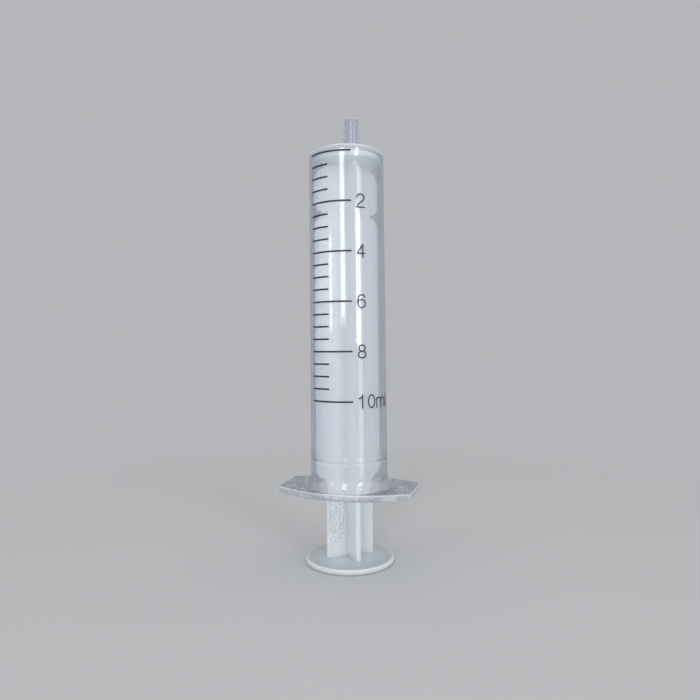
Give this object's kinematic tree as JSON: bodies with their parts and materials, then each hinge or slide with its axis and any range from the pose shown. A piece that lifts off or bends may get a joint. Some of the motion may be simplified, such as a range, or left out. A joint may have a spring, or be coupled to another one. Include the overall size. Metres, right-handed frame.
{
  "type": "luer slip syringe",
  "caption": "Disposable plastic syringe standing on its thumb disc: clear barrel with finger flange, printed scale and off-centre slip tip, and a milky ribbed plunger that slides in it.",
  "frame": {"origin": "centre of the thumb disc's lower face, which is what the syringe stands on", "axes": "+Z along the syringe's axis towards the tip, +X along the finger flange, the printed scale faces -Y and the tip is offset towards +Y"},
  "size_m": [0.0308, 0.0202, 0.1019],
  "materials": {
    "clear_plastic": "clear polypropylene, faintly blue, glossy",
    "milky_plastic": "natural translucent polyethylene, satin, spark-eroded grain on the ribs",
    "scale_ink": "near-black pad-printed ink"
  },
  "bodies": {
    "barrel": {"barrel": "clear_plastic", "scale_print": "scale_ink"},
    "plunger": {"plunger": "milky_plastic"}
  },
  "joints": [
    {"name": "plunger_slide", "type": "slide", "parent": "barrel", "child": "plunger", "axis": [0, 0, -1], "range_m": [0, 0.0659]}
  ]
}
